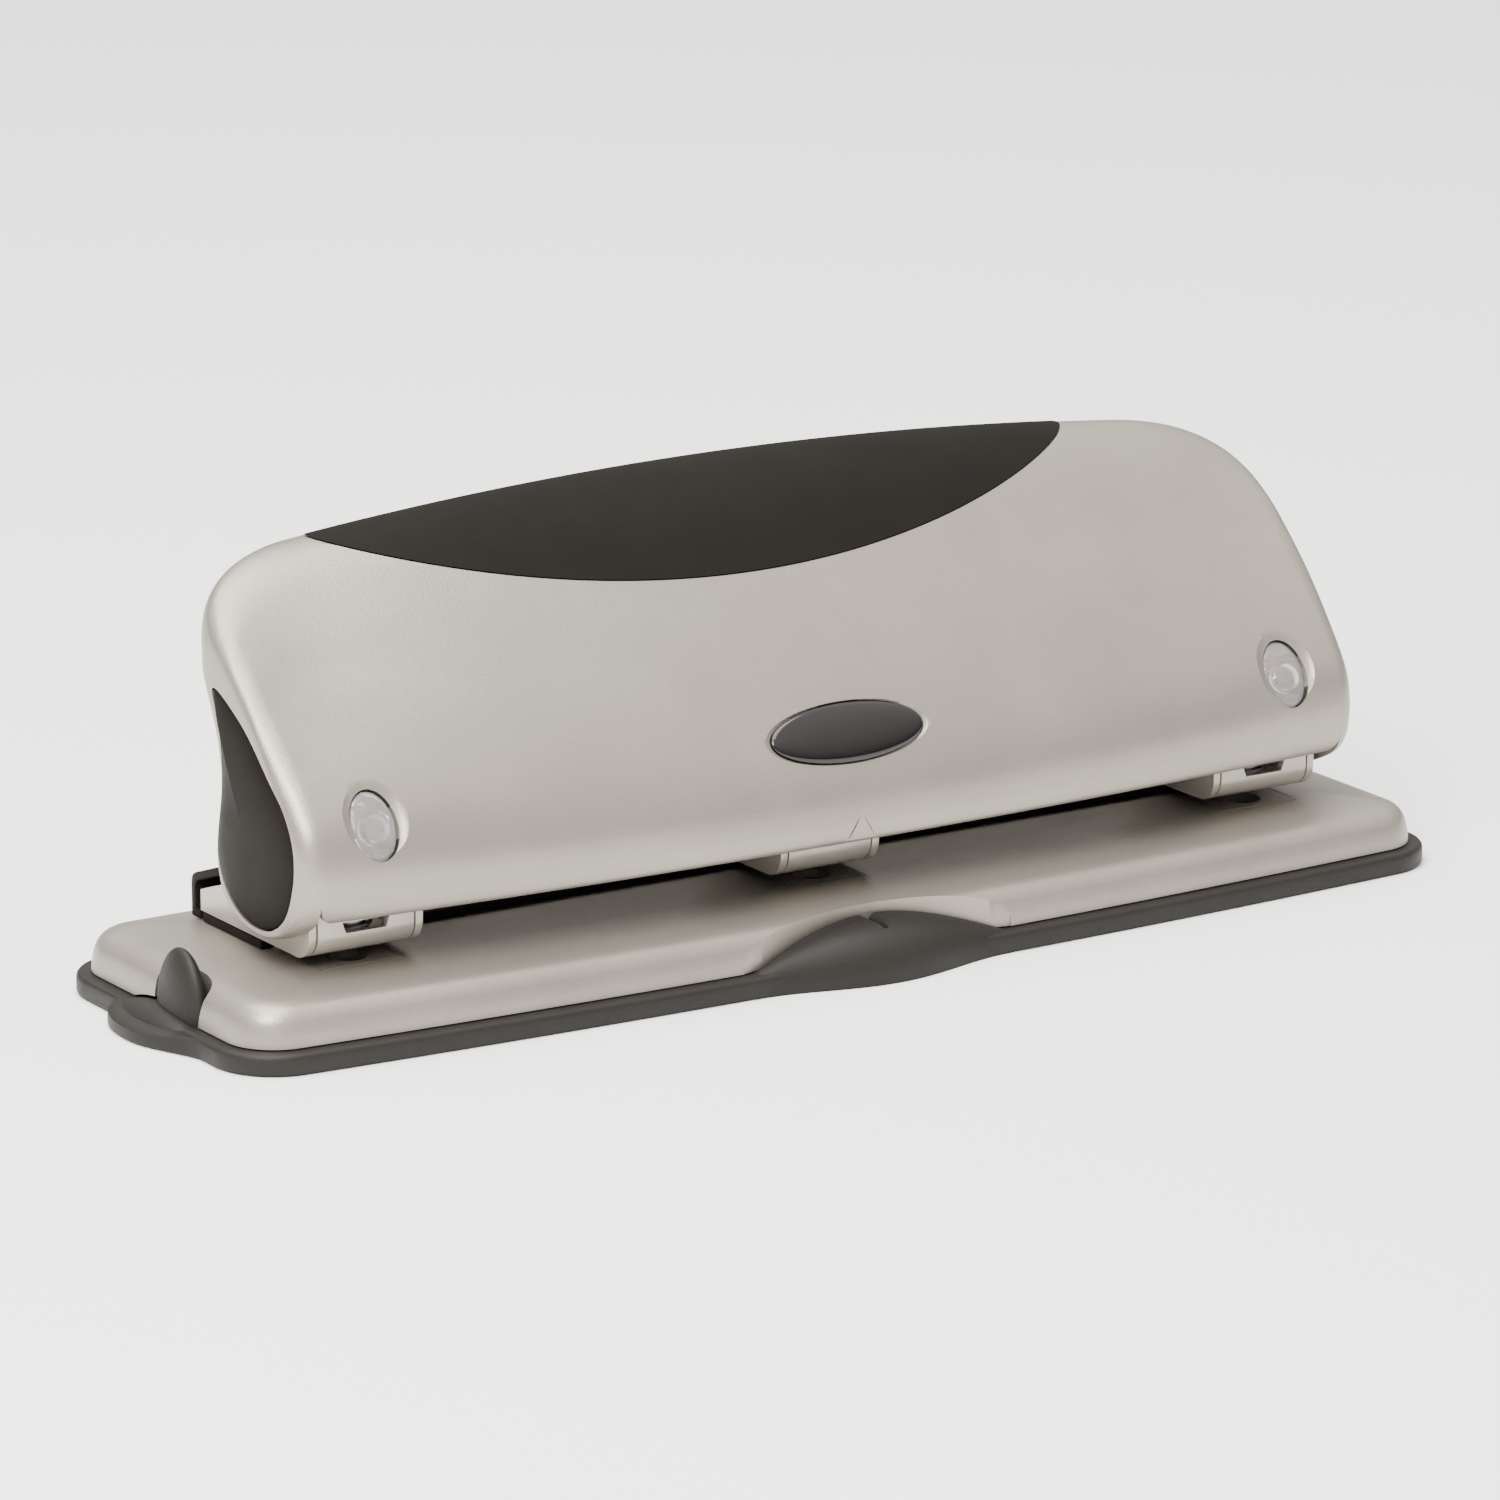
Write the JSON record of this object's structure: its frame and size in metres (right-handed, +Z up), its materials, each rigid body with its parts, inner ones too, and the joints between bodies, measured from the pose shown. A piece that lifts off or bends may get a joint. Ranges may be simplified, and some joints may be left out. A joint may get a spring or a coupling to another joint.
{
  "type": "hole punch",
  "caption": "Desktop paper punch with a tall sprung lever handle, soft ridge grip, paper-position windows and a hinged chip tray.",
  "frame": {"origin": "on the table, under the middle punch's plane of symmetry and near the middle of the foot's depth", "axes": "+X along the punch to its right seen from the paper side, +Y to the rear, +Z up"},
  "size_m": [0.294, 0.0904, 0.095],
  "materials": {
    "silver_paint": "satin metallic enamel",
    "black_plastic": "fine moulded texture",
    "soft_plastic": "soft-touch matt",
    "gloss_black": "high gloss",
    "steel": "ground",
    "spring_steel": "drawn wire",
    "zinc": "bright zinc plate",
    "clear_plastic": "clear moulded",
    "red_plastic": "moulded"
  },
  "bodies": {
    "tray": {"chip_tray": "soft_plastic", "tray_hinge_pin": "steel"},
    "base": {"base_cover": "silver_paint", "paper_stop_bar": "black_plastic", "rear_cover": "black_plastic", "pivot_shaft": "steel", "shaft_clip_left": "steel", "shaft_clip_right": "steel", "die_plate_left": "steel", "head_frame_left": "silver_paint", "guide_bridge_left": "zinc", "return_spring_left": "spring_steel", "die_plate_middle": "steel", "head_frame_middle": "silver_paint", "guide_bridge_middle": "zinc", "return_spring_middle": "spring_steel", "die_plate_right": "steel", "head_frame_right": "silver_paint", "guide_bridge_right": "zinc", "return_spring_right": "spring_steel", "frame_screw_left_a": "zinc", "frame_screw_left_b": "zinc", "frame_screw_middle_a": "zinc", "frame_screw_middle_b": "zinc", "frame_screw_right_a": "zinc", "frame_screw_right_b": "zinc"},
    "handle": {"handle_shell": "silver_paint", "handle_grip": "soft_plastic", "end_inlay_left": "black_plastic", "end_inlay_right": "black_plastic", "name_badge": "gloss_black", "window_lens_left": "clear_plastic", "window_lens_right": "clear_plastic", "press_bar": "zinc", "press_bar_screw_left": "zinc", "press_bar_screw_right": "zinc"},
    "pin_left": {"punch_pin_left": "steel", "pin_clip_left": "steel"},
    "pin_middle": {"punch_pin_middle": "steel", "pin_clip_middle": "steel"},
    "pin_right": {"punch_pin_right": "steel", "pin_clip_right": "steel"},
    "indicator_left": {"indicator_lever_left": "red_plastic"},
    "indicator_right": {"indicator_lever_right": "red_plastic"}
  },
  "joints": [
    {"name": "tray_hinge", "type": "hinge", "parent": "tray", "child": "base", "pos_m": [0.1415, 0, 0.0027], "axis": [0, 1, 0], "range_deg": [0, 28]},
    {"name": "handle_pivot", "type": "hinge", "parent": "base", "child": "handle", "pos_m": [0, 0.0032, 0.033], "axis": [1, 0, 0], "range_deg": [0, 20], "stiffness_Nm_per_rad": 0.5, "springref_deg": -20.05},
    {"name": "pin_slide_left", "type": "slide", "parent": "base", "child": "pin_left", "axis": [0, 0, -1], "range_m": [0, 0.0043], "deforming": ["return_spring_left"]},
    {"name": "pin_slide_middle", "type": "slide", "parent": "base", "child": "pin_middle", "axis": [0, 0, -1], "range_m": [0, 0.0043], "deforming": ["return_spring_middle"]},
    {"name": "pin_slide_right", "type": "slide", "parent": "base", "child": "pin_right", "axis": [0, 0, -1], "range_m": [0, 0.0043], "deforming": ["return_spring_right"]},
    {"name": "indicator_swing_left", "type": "hinge", "parent": "base", "child": "indicator_left", "pos_m": [-0.11595, 0.0032, 0.033], "axis": [1, 0, 0], "range_deg": [0, 9.5], "stiffness_Nm_per_rad": 0.002, "springref_deg": -17.19},
    {"name": "indicator_swing_right", "type": "hinge", "parent": "base", "child": "indicator_right", "pos_m": [0.11595, 0.0032, 0.033], "axis": [1, 0, 0], "range_deg": [0, 9.5], "stiffness_Nm_per_rad": 0.002, "springref_deg": -17.19}
  ],
  "couplings": [
    {"joint": "pin_slide_left", "follows": "handle_pivot", "m_per_rad": 0.0123},
    {"joint": "pin_slide_middle", "follows": "handle_pivot", "m_per_rad": 0.0123},
    {"joint": "pin_slide_right", "follows": "handle_pivot", "m_per_rad": 0.0123}
  ]
}
